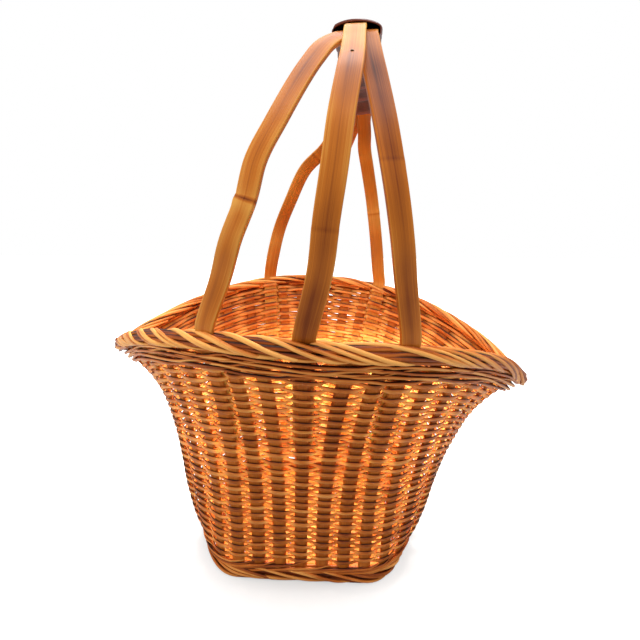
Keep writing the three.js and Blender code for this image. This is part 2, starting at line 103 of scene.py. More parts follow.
# Wale under the rim. A rod's section is its half thickness and half height
WALE_RODS = 7
WALE_SECTION = (1.35 * mm, 1.4 * mm)
WALE_OUT = 4.6 * mm
WALE_DIP = 1.8 * mm
WALE_STEP = 0.6 * mm
WALE_RISE = 1.2 * mm
WALE_WANDER = 0.4 * mm
WALE_STAGGER = 1.7
STAKES_PER_STROKE = 4
TIP_LOOSE = 2.5 * mm
TIP_DROOP = 6 * mm

# Rim and foot borders. A roll is its level, distance from the wall, half depth and half height
RIM_PAIRS = 36
RIM_ROLL = (RIM_AXIS, 0, 6.2 * mm, 5.6 * mm)
RIM_CORE_SECTION = (1.9 * mm, 1.9 * mm)
CORE_WANDER = 0.5 * mm
FOOT_RODS = 34
FOOT_ROLL = (FOOT_AXIS, 0.8 * mm, 3.0 * mm, 6.2 * mm)
FOOT_CORE_SECTION = (1.4 * mm, 2.3 * mm)
FOOT_CLEARANCE = 2.4 * mm
UPPER_FOOT_RODS = 30
UPPER_FOOT_SECTION = (1.2 * mm, 1.4 * mm)
UPPER_FOOT_OUT = 2.6 * mm
UPPER_FOOT_START = 0.2 * mm
# Each core rod of the foot lies this many millimetres further in than the one below it
FOOT_CORE_LEAN = 0.4
# Ranges for single rods, in millimetres, and angles round the roll, in degrees
ROD_SHIFTS = (-3, 3)
RIM_LENGTHS = (92, 125)
RIM_RADII = (1.4, 1.8)
RIM_LIFTS = (0.6, 2.2)
RIM_ANGLES = (220, -62)
FOOT_LENGTHS = (85, 115)
FOOT_RADII = (1.2, 1.6)
FOOT_LIFTS = (0.2, 1.2)
FOOT_ANGLES = (150, -85)
UPPER_FOOT_SHIFTS = (-4, 4)
UPPER_FOOT_LENGTHS = (80, 110)
UPPER_FOOT_HEIGHTS = (9.5, 11.5)
UPPER_FOOT_RISES = (8.5, 11)
# Core rods of the rim, outward and upward, and heights of those of the foot, in millimetres
RIM_CORES = [
    (3.4, -3.2), (-2.9, -3.2), (4.4, 0.2), (-4.2, 0.2), (3.0, 3.0), (-2.8, 3.0), (0, 3.9),
    (0.2, -0.8), (1.5, -5.9),
]
FOOT_CORES = [2.7, 7.0, 11.5, 16.0]
# Rod ends at the left tip: outward, upward and how far they stand out, in millimetres
TIP_ENDS = [(6.0, -3.6, 1.5), (5.4, 0.2, 3), (3.8, 3.4, 2), (0.8, 5.2, 3), (2.4, -1.0, 4)]
TIP_END_TURNS = (3.16, 3.012)
TIP_END_SECTION = (2.1 * mm, 2.1 * mm)

# Bottom. Its ends reach under the foot border, which leans out most at the tips
BOTTOM_HALF_LENGTH = BASE_HALF_LENGTH + 1.8 * mm
BOTTOM_HALF_WIDTH = BASE_HALF_WIDTH - 0.2 * mm
BOTTOM_CORNER = BASE_CORNER - 2 * mm
BOTTOM_SPLINTS = 12
BOTTOM_SPLINT_SHARE = 0.9
BOTTOM_HALF_THICKNESS = 0.9 * mm
BOTTOM_HEIGHT = 2.5 * mm
BOTTOM_WAVE = 1.25 * mm

# Handle
STRIP_WIDTH = 16 * mm
STRIP_THICKNESS = 4 * mm
HANDLE_HEIGHT = 226 * mm
HANDLE_SHIFT = 37 * mm
GAP = 0.3 * mm
STRIP_EDGE = 0.9 * mm
STRIP_CROWN = 0.15 * mm
STRIP_STEP = 2.2 * mm
JOINT_SWELL = 0.35 * mm
LEATHER = 1.8 * mm
GRIP_SIDE = 1.2 * mm
GRIP_HEIGHT = 5.2 * mm
GRIP_ENDS = (1 / 9, 8 / 9)
NEAR_END_RISE = 2.0 * mm
NEAR_END_SLANT = 4.5 * mm
FAR_END_SLANT = 4 * mm
RAGGED = 1.2 * mm
FINE_RAGGED = 0.6 * mm
LAP_PITCH = 21 * mm
NAIL_RADIUS = 1.2 * mm
NAIL_PLACE = np.array([40.6, -128.5, 435.4]) * mm
SIDE_LEG = 3 / STAKES_PER_TURN
FAR_MIDDLE = 2
LEG_TURNS = [0, SIDE_LEG, -SIDE_LEG, FAR_MIDDLE, 2 - SIDE_LEG, 2 + SIDE_LEG]
# Lines of the strips, as in the solids. A point is its share of the way sideways from the foot to
# the crown, of the mouth's half width and of the handle's height above the rim
NEAR_MIDDLE = [
    (0.32, -1.088, 0.215), (0.42, -1.12, 0.345), (0.53, -1.11, 0.466), (0.63, -1.054, 0.6),
    (0.75, -0.943, 0.726), (0.81, -0.782, 0.812), (0.84, -0.656, 0.879),
]
FAR_MIDDLE_LINE = [
    (0.91, 0.76, 0.805), (0.7, 0.87, 0.735), (0.45, 0.965, 0.655), (0.255, 1.028, 0.505),
    (0.08, 1.05, 0.35), (-0.07, 1.036, 0.19),
]
NEAR_LEFT = [
    (0.15, -0.902, 0.17), (0.25, -0.953, 0.287), (0.36, -0.959, 0.4), (0.42, -0.927, 0.507),
    (0.54, -0.864, 0.62), (0.67, -0.757, 0.745), (0.75, -0.681, 0.815), (0.83, -0.612, 0.872),
]
FAR_LEFT = [
    (0.86, 0.745, 0.78), (0.71, 0.815, 0.704), (0.475, 0.87, 0.61), (0.275, 0.946, 0.448),
    (0.11, 0.95, 0.272), (0.02, 0.87, 0.075),
]
NEAR_RIGHT = [
    (0.23, -0.915, 0.17), (0.37, -0.953, 0.287), (0.52, -0.959, 0.4), (0.66, -0.921, 0.507),
    (0.81, -0.858, 0.62), (0.98, -0.75, 0.745), (1.08, -0.681, 0.815), (1.14, -0.612, 0.872),
]
FAR_RIGHT = [
    (0.87, 0.745, 0.776), (0.85, 0.793, 0.713), (0.67, 0.872, 0.61), (0.41, 0.943, 0.446),
    (0.17, 0.936, 0.215), (0.06, 0.865, 0.04),
]
CROWN = [
    (0.866, -0.55, 0.934), (0.885, -0.5, 0.95), (0.92, -0.36, 0.977), (0.96, -0.19, 0.995),
    (1, 0, 1.004), (1.02, 0.19, 0.997), (1.03, 0.36, 0.972), (1.04, 0.5, 0.937),
    (1.05, 0.62, 0.883), (1.05, 0.675, 0.851),
]

# Tones along each strip, partly its own colour and partly painted light and shade, the far legs
# painted lighter; across its section, painted highlights on the rounded edges
TONE_SHARES = [0, 0.17, 0.3, 0.42, 0.6, 1]
MIDDLE_TONE_AND_LIGHT = [0.45, 0.28, 0.34, 0.6, 0.4, 0.55]
LEFT_TONE_AND_LIGHT = [0.5, 0.48, 0.33, 0.45, 0.45, 0.65]
RIGHT_TONE_AND_LIGHT = [0.4, 0.34, 0.13, 0.35, 0.45, 0.6]
EDGE_HIGHLIGHT_TONES = np.array([0.1, 0.15, 0.35, 0.2, 0, 0.2, 0.35, 0.15, 0.1, 0, 0, 0])

# Studio. A light is its name, place, target, size, power in watts and whether gloss shows it
LIGHTS = [
    ("overhead", (0.1, 0.1, 2.0), (0, 0, 0), (2.2, 1.8), 42, True),
    ("back", (0.1, 1.5, 1.35), (0, -0.1, 0.15), (1.2, 0.7), 70, False),
    ("left_side", (-1.2, -0.5, 0.7), (0, 0, 0.3), (0.6, 1.0), 6, False),
    ("front_fill", (0.15, -0.55, 0.8), (0, 0.1, 0.2), (0.3, 0.3), 0.7, False),
    ("inside", (0.01, 0, 0.2), (0.01, 0, 0), (0.14, 0.12), 1.4, False),
]
FLOOR_SIZE = 6
# The floor turns from shaded to plain white between these distances from the middle
SHADED_FLOOR = (0.09, 0.2)

# Camera, with its sensor in millimetres and the focal length in pixels of the picture
SENSOR_WIDTH = 36
FOCAL_PIXELS = 420
PICTURE_PIXELS = 640
CAMERA_SHIFT = -0.0295
CAMERA_PLACE = (37.3 * mm, -418 * mm, 336 * mm)
CAMERA_DIP = 0.2
CAMERA_TURN = 0.057

chance = random.Random(7)


# The woven surface
def unit(rows):
    return rows / np.linalg.norm(rows, axis=-1, keepdims=True)


def smooth(value, start, end):
    share = np.clip((value - start) / (end - start), 0, 1)
    return share * share * (3 - 2 * share)


def run_along(points):
    """The distance along a line at each of its points."""
    return np.concatenate([[0], np.cumsum(np.linalg.norm(np.diff(points, axis=0), axis=1))])


def ring_turns(samples):
    """Turns all round the basket, with this many for each stake."""
    return np.arange(STAKES * samples) / (STAKES_PER_TURN * samples)


def flare(values, level):
    """A smooth curve through the shares that never overshoots them."""
    x = np.array(HEIGHT_SHARES, float)
    y = np.array(values, float)
    rates = np.diff(y) / np.diff(x)
    before = rates[:-1]
    after = rates[1:]
    total = np.where(before * after > 0, before + after, 1)
    inner = np.where(before * after > 0, 2 * before * after / total, 0)
    slopes = np.concatenate([rates[:1], inner, rates[-1:]])
    level = np.clip(level, 0, 1)
    i = np.clip(np.searchsorted(x, level) - 1, 0, len(x) - 2)
    step = x[i + 1] - x[i]
    s = (level - x[i]) / step
    rise = s * s * (3 - 2 * s)
    bend = s * (1 - s) ** 2 * slopes[i] + s * s * (s - 1) * slopes[i + 1]
    return y[i] * (1 - rise) + y[i + 1] * rise + step * bend


# Half of the mouth's near edge, from its middle to the tip, and the share of the way along it
mouth_steps = np.linspace(0, 1, 601)
mouth_x = MOUTH_HALF_LENGTH * mouth_steps
mouth_y = -MOUTH_HALF_WIDTH * (1 - mouth_steps ** 2)
mouth_run = np.concatenate([[0], np.cumsum(np.hypot(np.diff(mouth_x), np.diff(mouth_y)))])
mouth_run = mouth_run / mouth_run[-1]


def base_outline(share):
    """The bottom's outline over one quarter, a straight side, a corner and a straight end."""
    first = BASE_HALF_LENGTH - BASE_CORNER
    last = BASE_HALF_WIDTH - BASE_CORNER
    arc = BASE_CORNER * math.pi / 2
    run = share * (first + arc + last)
    angle = np.clip((run - first) / BASE_CORNER, 0, math.pi / 2)
    x = np.minimum(run, first) + BASE_CORNER * np.sin(angle)
    y = -last - BASE_CORNER * np.cos(angle) + np.maximum(run - first - arc, 0)
    return x, y


def surface(turn, level):
    """Points on the middle of the wall. Turns count quarters from the near side's middle."""
    turn, level = np.broadcast_arrays(np.mod(turn, QUARTERS), level)
    quarter = np.floor(turn)
    share = np.where(quarter % 2 == 0, turn - quarter, 1 - turn + quarter)
    sign_x = np.where(quarter < 2, 1, -1)
    sign_y = np.where((quarter == 0) | (quarter == 3), 1, -1)
    base_x, base_y = base_outline(share)
    spread = RIM_SPREAD * share + (1 - RIM_SPREAD) * share ** 3
    spread = spread + NEAR_SPREAD * np.sin(math.pi * np.minimum(1, share / SIDE_LEG)) ** 2
    rim_x = np.interp(spread, mouth_run, mouth_x)
    rim_y = np.interp(spread, mouth_run, mouth_y)
    corner = smooth(share, CORNER_START, CORNER_FULL)
    tip = np.maximum(0, (share - CORNER_FULL) / (1 - CORNER_FULL))
    wide = flare(PANEL_SHARES, level) * (1 - corner) + flare(CORNER_SHARES, level) * corner
    wide = wide * (1 - tip) + flare(TIP_SHARES, level) * tip
    x = base_x + (rim_x - base_x) * wide
    y = base_y + (rim_y - base_y) * flare(WIDTH_SHARES, level)
    along = sign_x * rim_x / MOUTH_HALF_LENGTH
    height = RIM_HEIGHT - TIP_DROP * np.abs(along) ** DROOP_POWER - RIM_TILT * along
    lean = BODY_LEAN * np.maximum(level, 0) ** LEAN_POWER
    return np.stack([sign_x * x + lean, sign_y * y, height * level], axis=-1)


def soft_surface(turn, level):
    """The surface with its pointed ends rounded a little, as a rod bends round them."""
    return sum(surface(turn + step, level) for step in (-0.014, 0, 0.014)) / 3


def wall_frame(turn, level, spread=0.02):
    """Points of the wall with their directions sideways, up and outward."""
    turn, level = np.broadcast_arrays(np.asarray(turn, float), np.asarray(level, float))
    side = unit(surface(turn + spread, level) - surface(turn - spread, level))
    rise = unit(surface(turn, level + 0.01) - surface(turn, level - 0.01))
    square = unit(np.cross(side, rise))
    flat = unit(np.stack([side[..., 1], -side[..., 0], np.zeros(side.shape[:-1])], axis=-1))
    weight = smooth(level, 0, FOOT_TOP)[..., None]
    return soft_surface(turn, level), side, rise, unit(flat * (1 - weight) + square * weight)


def on_wall(turn, level, outward, upward=0):
    """Points a distance outward from the wall and up along it, with the outward direction."""
    point, _, rise, out = wall_frame(turn, level)
    outward = np.broadcast_to(outward, np.shape(turn))[..., None]
    upward = np.broadcast_to(upward, np.shape(turn))[..., None]
    return point + out * outward + rise * upward, out


# Meshes
def mesh_piece(name, points, faces, uvs, tone, material, flat_faces=0):
    """A finished piece with its grain map and its tone, the last faces flat and the rest smooth."""
    mesh = bpy.data.meshes.new(name)
    mesh.from_pydata([tuple(p) for p in points], [], faces)
    layer = mesh.uv_layers.new(name="grain")
    layer.data.foreach_set("uv", np.asarray(uvs, dtype=np.float32).ravel())
    tones = mesh.attributes.new("tone", "FLOAT", "POINT")
    tones.data.foreach_set("value", np.asarray(tone, dtype=np.float32))
    shading = [True] * (len(faces) - flat_faces) + [False] * flat_faces
    mesh.polygons.foreach_set("use_smooth", shading)
    mesh.validate()
    mesh.materials.append(material)
    piece = bpy.data.objects.new(name, mesh)
    bpy.context.scene.collection.objects.link(piece)
    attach(piece, "root")
    return piece


def swept(name, path, out, section, material, scale=1, closed=False, tone=0.5):
    """A bar along a path. The section is outward and upward offsets, scaled along the way."""
    tone = np.broadcast_to(tone, (len(path), len(section))).ravel()
    path = np.asarray(path, float)
    count = len(path)
    sides = len(section)
    if closed:
        along = unit(np.roll(path, -1, axis=0) - np.roll(path, 1, axis=0))
    else:
        along = unit(np.gradient(path, axis=0))
    up = unit(np.cross(out, along))
    out = np.cross(along, up)
    scale = np.broadcast_to(np.asarray(scale, float), (count,))[:, None, None]
    section = np.asarray(section, float)
    rings = path[:, None] + scale * (
        out[:, None] * section[None, :, :1] + up[:, None] * section[None, :, 1:])
    points = rings.reshape(-1, 3)
    gaps = np.linalg.norm(np.diff(path, axis=0, append=path[:1]), axis=1)
    run = np.concatenate([[0], np.cumsum(gaps)])
    edges = np.linalg.norm(np.diff(section, axis=0, append=section[:1]), axis=1)
    girth = np.concatenate([[0], np.cumsum(edges)])
    spans = count if closed else count - 1
    faces = []
    uvs = []
    for i in range(spans):
        after = (i + 1) % count
        for j in range(sides):
            turn = (j + 1) % sides
            faces.append((i * sides + j, after * sides + j, after * sides + turn, i * sides + turn))
            uvs += [(run[i], girth[j]), (run[i + 1], girth[j])]
            uvs += [(run[i + 1], girth[j + 1]), (run[i], girth[j + 1])]
    if not closed:
        last = (count - 1) * sides
        faces += [tuple(range(sides)), tuple(range(last + sides - 1, last - 1, -1))]
        uvs += [(run[0], girth[j]) for j in range(sides)]
        uvs += [(run[-2], girth[j]) for j in range(sides - 1, -1, -1)]
    flat_faces = 0 if closed else 2
    return mesh_piece(name, points, faces, uvs, tone, material, flat_faces)


def round_section(half_thickness, half_height, sides=8):
    angles = [2 * math.pi * j / sides for j in range(sides)]
    return [(half_thickness * math.cos(a), half_height * math.sin(a)) for a in angles]


def splint_section(width, inner, outer, edge=0.35, hollow=0.12, steps=5):
    """A split strip: flat behind, slightly rounded in front, with thin edges."""
    thickness = outer - inner
    shares = [-1 + 2 * i / (steps - 1) for i in range(steps)]
    front = [(inner + thickness * (edge + (1 - edge) * (1 - s ** 4)), s * width / 2)
             for s in shares]
    back = [(inner + thickness * hollow * s ** 4, s * width / 2) for s in reversed(shares)]
    return front + back


# Materials
def add(tree, kind, settings=(), links=()):
    """A shader node with its settings, and its inputs linked from other nodes' outputs."""
    node = tree.nodes.new(kind)
    for name, value in dict(settings).items():
        if isinstance(name, str) and hasattr(node, name):
            setattr(node, name, value)
        else:
            node.inputs[name].default_value = value
    for name, output in dict(links).items():
        tree.links.new(output, node.inputs[name])
    return node


def linear(code):
    """An sRGB hex colour as linear values."""
    parts = [int(code[i:i + 2], 16) / 255 for i in (0, 2, 4)]
    return [p / 12.92 if p <= 0.04045 else ((p + 0.055) / 1.055) ** 2.4 for p in parts] + [1]


def new_material(name):
    material = bpy.data.materials.new(name)
    material.use_nodes = True
    tree = material.node_tree
    tree.nodes.clear()
    return material, tree


def ramp(tree, source, stops):
    node = add(tree, "ShaderNodeValToRGB", {}, {"Fac": source})
    elements = node.color_ramp.elements
    while len(elements) < len(stops):
        elements.new(0.5)
    for element, (place, code) in zip(elements, stops):
        element.position = place
        element.color = linear(code)
    return node.outputs["Color"]


def wood(name, colours, fibre, blotch, roughness, coat, bump, glow=0):
    """Split or peeled wood: fibres along the piece, slow blotches and a tone of its own."""
    deep, dark, middle, pale = colours
    material, tree = new_material(name)
    grain = add(tree, "ShaderNodeUVMap", {"uv_map": "grain"})
    tone = add(tree, "ShaderNodeAttribute", {"attribute_name": "tone"})
    along, across = fibre
    fibres_place = add(tree, "ShaderNodeMapping", {"Scale": (1 / along, 1 / across, 1)},
                       {"Vector": grain.outputs["UV"]})
    fibres = add(tree, "ShaderNodeTexNoise", {"Scale": 1, "Detail": 3, "Roughness": 0.6},
                 {"Vector": fibres_place.outputs["Vector"]})
    coordinate = add(tree, "ShaderNodeTexCoord")
    patches = add(tree, "ShaderNodeTexNoise", {"Scale": 1 / blotch, "Detail": 2},
                  {"Vector": coordinate.outputs["Object"]})
    mixed = add(tree, "ShaderNodeMath", {"operation": "MULTIPLY_ADD", 1: 0.5},
                {0: fibres.outputs["Fac"], 2: tone.outputs["Fac"]})
    shade = add(tree, "ShaderNodeMath", {"operation": "MULTIPLY_ADD", 1: 0.5},
                {0: patches.outputs["Fac"], 2: mixed.outputs["Value"]})
    scaled = add(tree, "ShaderNodeMath", {"operation": "MULTIPLY_ADD", 1: 1.0, 2: -0.5},
                 {0: shade.outputs["Value"]})
    stops = [(0.0, deep), (0.18, dark), (0.5, middle), (0.88, pale)]
    colour = ramp(tree, scaled.outputs["Value"], stops)
    bumps = add(tree, "ShaderNodeBump", {"Strength": 0.5, "Distance": bump},
                {"Height": fibres.outputs["Fac"]})
    shader = add(tree, "ShaderNodeBsdfPrincipled",
                 {"Roughness": roughness, "Coat Weight": coat, "Coat Roughness": 0.25,
                  "Specular IOR Level": 0.15, "Subsurface Weight": glow,
                  "Subsurface Scale": 3 * mm, "Subsurface Radius": (0.75, 1.0, 0.8)},
                 {"Base Color": colour, "Normal": bumps.outputs["Normal"]})
    add(tree, "ShaderNodeOutputMaterial", {}, {"Surface": shader.outputs["BSDF"]})
    return material


# Buff willow: boiled and peeled rods under a thin varnish, honey brown with a soft gloss
buff_willow = wood("buff_willow_varnished", ("34140a", "80360d", "c8702a", "eda85a"),
                   fibre=(25 * mm, 0.9 * mm), blotch=30 * mm, roughness=0.48, coat=0.05,
                   bump=0.15 * mm, glow=0.6)
# Border willow: the same rods, thicker; the rim's rods get pale tones, painted light from above
border_willow = wood("border_willow_varnished", ("2e1006", "76300e", "c46822", "f0aa58"),
                     fibre=(30 * mm, 1.0 * mm), blotch=26 * mm, roughness=0.42, coat=0.1,
                     bump=0.2 * mm)
# Riven splint: wood split along its fibres, darker and duller than a peeled rod
riven_splint = wood("riven_splint", ("3a1505", "8c4010", "c46a22", "e09a4a"),
                    fibre=(40 * mm, 0.7 * mm), blotch=35 * mm, roughness=0.55, coat=0.03,
                    bump=0.25 * mm)
# Steamed bamboo: planed strips with straight fine fibres and a satin varnish
steamed_bamboo = wood("steamed_bamboo_satin", ("2e1104", "78360a", "b8671c", "e0a148"),
                      fibre=(90 * mm, 0.8 * mm), blotch=55 * mm, roughness=0.42, coat=0.08,
                      bump=0.12 * mm)


def leather_material():
    """Vegetable tanned leather, stained dark brown: pebbled grain, with painted highlights, redder,
    on its ridges.
    """
    pebble = 1.6 * mm
    patch = 14 * mm
    relief = 0.3 * mm
    material, tree = new_material("stained_leather")
    coordinate = add(tree, "ShaderNodeTexCoord")
    pebbles = add(tree, "ShaderNodeTexVoronoi", {"Scale": 1 / pebble},
                  {"Vector": coordinate.outputs["Object"]})
    patches = add(tree, "ShaderNodeTexNoise", {"Scale": 1 / patch, "Detail": 4},
                  {"Vector": coordinate.outputs["Object"]})
    tone = add(tree, "ShaderNodeAttribute", {"attribute_name": "tone"})
    shade = add(tree, "ShaderNodeMath", {"operation": "MULTIPLY_ADD", 1: 0.7},
                {0: patches.outputs["Fac"], 2: tone.outputs["Fac"]})
    stops = [(0.45, "1c0b07"), (0.85, "45190f"), (1.0, "6e3423")]
    colour = ramp(tree, shade.outputs["Value"], stops)
    bumps = add(tree, "ShaderNodeBump", {"Strength": 0.6, "Distance": relief},
                {"Height": pebbles.outputs["Distance"]})
    shader = add(tree, "ShaderNodeBsdfPrincipled", {"Roughness": 0.45, "Coat Weight": 0.1},
                 {"Base Color": colour, "Normal": bumps.outputs["Normal"]})
    add(tree, "ShaderNodeOutputMaterial", {}, {"Surface": shader.outputs["BSDF"]})
    return material


def nail_material():
    """Blackened brass, hammered: a dull metal with darker oxide patches."""
    patch = 1.2 * mm
    material, tree = new_material("blackened_brass")
    coordinate = add(tree, "ShaderNodeTexCoord")
    patches = add(tree, "ShaderNodeTexNoise", {"Scale": 1 / patch},
                  {"Vector": coordinate.outputs["Object"]})
    colour = ramp(tree, patches.outputs["Fac"], [(0.35, "2a1a0c"), (0.7, "5c4526")])
    shader = add(tree, "ShaderNodeBsdfPrincipled", {"Roughness": 0.45, "Metallic": 1},
                 {"Base Color": colour})
    add(tree, "ShaderNodeOutputMaterial", {}, {"Surface": shader.outputs["BSDF"]})
    return material


def floor_material():
    """Matt white paper that keeps its shading only near the basket."""
    material, tree = new_material("paper_sweep")
    path = add(tree, "ShaderNodeLightPath")
    coordinate = add(tree, "ShaderNodeTexCoord")
    away = add(tree, "ShaderNodeVectorMath", {"operation": "LENGTH"},
               {"Vector": coordinate.outputs["Object"]})
    fade = add(tree, "ShaderNodeMapRange",
               {"From Min": SHADED_FLOOR[0], "From Max": SHADED_FLOOR[1],
                "To Min": 0.5, "To Max": 1.0},
               {"Value": away.outputs["Value"]})
    lift = add(tree, "ShaderNodeMath", {"operation": "MULTIPLY"},
               {0: path.outputs["Is Camera Ray"], 1: fade.outputs["Result"]})
    shader = add(tree, "ShaderNodeBsdfPrincipled",
                 {"Roughness": 0.9, "Base Color": linear("a8a8a6"),
                  "Emission Color": linear("ffffff")},
                 {"Emission Strength": lift.outputs["Value"]})
    add(tree, "ShaderNodeOutputMaterial", {}, {"Surface": shader.outputs["BSDF"]})
    return material


stained_leather = leather_material()
blackened_brass = nail_material()


# Stakes
def make_stakes():
    # The levels lie closer together at the foot, where the wall bends
    low_levels = np.linspace(STAKE_FOOT, 0.12, 5)
    high_levels = np.linspace(0.15, BORDER_BOTTOM, 26)
    levels = np.concatenate([low_levels, high_levels])
    for k in range(STAKES):
        turn = np.full(len(levels), k / STAKES_PER_TURN)
        point, _, _, out = wall_frame(turn, levels)
        width = STAKE_WIDTH * chance.uniform(0.94, 1.04)
        section = splint_section(width, -STAKE_THICKNESS / 2, STAKE_THICKNESS / 2)
        name = f"stake_splint_{k + 1:02d}"
        tone = chance.uniform(0.3, 0.62)
        piece = swept(name, point, out, section, riven_splint, tone=tone)
        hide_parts(f"stake_{k + 1:02d}")


# Weaver rows
def leg_bulge(turn, level):
    """How much further in a row runs where it passes behind a leg of the handle."""
    bulge = np.zeros(np.shape(turn))
    for leg in LEG_TURNS:
        away = np.abs(np.mod(turn - leg + 2, QUARTERS) - 2) * STAKES_PER_TURN
        bulge = np.maximum(bulge, 1 - smooth(away, 0.35, 0.85))
    return bulge * (level > LEG_FOOT)


def wobble(turn, level, seed):
    """Slow rises and dips that neighbouring rows share."""
    round_trip = 2 * math.pi * turn / QUARTERS
    slow = np.sin(3 * round_trip + 5 * level) + 0.7 * np.sin(7 * round_trip + 9 * level + 1)
    own = 0.35 * np.sin(11 * round_trip + seed) + 0.25 * np.sin(23 * round_trip + 2.3 * seed)
    return (0.5 * slow + own) * WOBBLE / RIM_HEIGHT


def make_rows():
    turn = ring_turns(ROW_SAMPLES)
    far = 0.5 - 0.5 * np.cos(math.pi * turn / 2)
    slim = SLIM_SHARE * (1 - far) - FAR_THICK_SHARE
    heights = np.array([chance.uniform(0.85, 1.15) for _ in range(ROWS)])
    edges = np.concatenate([[0], np.cumsum(heights)]) / heights.sum()
    band = WALE_BOTTOM - FOOT_TOP
    rows = [((edges[r] + edges[r + 1]) / 2, edges[r + 1] - edges[r]) for r in range(ROWS)]
    rows += [(1 + (r + 0.5) / ROWS, 1 / ROWS) for r in range(HIDDEN_ROWS)]
    for r, (middle, height) in enumerate(rows):
        level = FOOT_TOP + band * middle
        half_height = 0.5 * band * height * RIM_HEIGHT * ROW_OVERLAP
        swing = np.cos(math.pi * turn * STAKES_PER_TURN) * (-1) ** r
        swing = swing * (1.4 - 0.4 * swing ** 2)
        outward = WEAVE_DEPTH * swing
        outward -= LEG_DEPTH * leg_bulge(turn, level) * smooth(-swing, 0, 0.8)
        seed = chance.uniform(0, 40)
        path, out = on_wall(turn, level + wobble(turn, level, seed), outward)
        thick = 1 + 0.1 * np.sin(2 * math.pi * turn * 2 / QUARTERS + seed)
        thick = thick * (1 - slim * (1 - swing ** 2))
        section = round_section(ROD_HALF_THICKNESS, half_height)
        # Painted shade and glow: each row is darker where it crosses a stake, paler between the
        # stakes where light shows through, with painted shade in its upper crease
        tone = (chance.uniform(0.4, 0.7) + 0.12 - 0.24 * swing ** 4)[:, None] + CREASE_SHADE_TONES
        # The inside of the far wall is painted paler, as painted light
        tone = tone + far[:, None] * INSIDE_LIGHT_TONES
        piece = swept(f"weaver_row_{r + 1:02d}", path, out, section, buff_willow,
                      scale=thick, closed=True, tone=tone)
        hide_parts("woven_wall" if r < ROWS else "wale_band")


# Wale, the heavy band under the rim
def make_wale():
    turn = ring_turns(RING_SAMPLES)
    pitch = (BORDER_BOTTOM - WALE_BOTTOM) / WALE_RODS
    # The rods stand off the wall round the right tip and leave a dark hollow there
    loose = TIP_LOOSE * smooth(1 - np.abs(turn - 1) / 0.3, 0, 1)
    for r in range(WALE_RODS):
        level = WALE_BOTTOM + pitch * (r + 0.5)
        phase = (turn * STAKES_PER_TURN + r * WALE_STAGGER) / STAKES_PER_STROKE
        stroke = np.cos(2 * math.pi * phase)
        outward = WALE_OUT - WALE_DIP * smooth(stroke, 0.5, 1) - WALE_STEP * (r % 2) + loose
        slope = WALE_RISE * np.sin(2 * math.pi * phase)
        slope = slope + WALE_WANDER * np.sin(5 * math.pi * turn + r)
        path, out = on_wall(turn, level + wobble(turn, level, r), outward, slope)
        thick = 1 + 0.15 * np.sin(2 * math.pi * phase / 2 + 2 * r)
        tone = chance.uniform(0.4, 0.7) + 0.15 * np.sin(2 * math.pi * turn + 2 * r)
        piece = swept(f"wale_rod_{r + 1}", path, out, round_section(*WALE_SECTION),
                      border_willow, scale=thick, closed=True,
                      tone=tone[:, None] + CREASE_SHADE_TONES)
        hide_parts("wale_band")


# Rim border, pairs of rods laid slantwise over a core
line_turns = np.linspace(0, QUARTERS, LINE_SAMPLES)
rim_run = run_along(surface(line_turns, 1.0))
foot_run = run_along(surface(line_turns, 0.02))


def tip_droop(turn):
    """How far the rim hangs lower close to the right tip."""
    return TIP_DROOP * smooth(1 - np.abs(turn - 1) / 0.16, 0, 1)


def slanted_rod(name, node, run, start, length, angles, roll, radius, lift, tone, blunt):
    """One rod of a rolled border, wound part of the way round the roll."""
    level, centre, half_out, half_up = roll
    steps = 26
    s = np.linspace(0, 1, steps)
    turn = np.interp(np.mod(start + length * s, run[-1]), run, line_turns)
    angle = np.radians(angles[0] + (angles[1] - angles[0]) * (0.75 * s + 0.25 * smooth(s, 0, 1)))
    proud = lift * smooth(s, 0.6, 1)
    outward = centre + (half_out + proud) * np.cos(angle)
    upward = half_up * np.sin(angle)
    path, out = on_wall(turn, level, outward, upward)
    path[:, 2] = np.maximum(path[:, 2], radius)
    if node == "rim_border":
        path[:, 2] -= tip_droop(turn)
    taper = 1 - (0.2 if blunt else 0.75) * smooth(s, 0.8, 1) - 0.3 * (1 - smooth(s, 0, 0.15))
    tone = tone + 0.1 * np.sin(9 * s + 40 * start) - 0.25 * (1 - smooth(s, 0, 0.25))
    piece = swept(name, path, out, round_section(radius, radius), border_willow,
                  scale=taper, tone=tone[:, None] + CREASE_SHADE_TONES / 3)
    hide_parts(node)


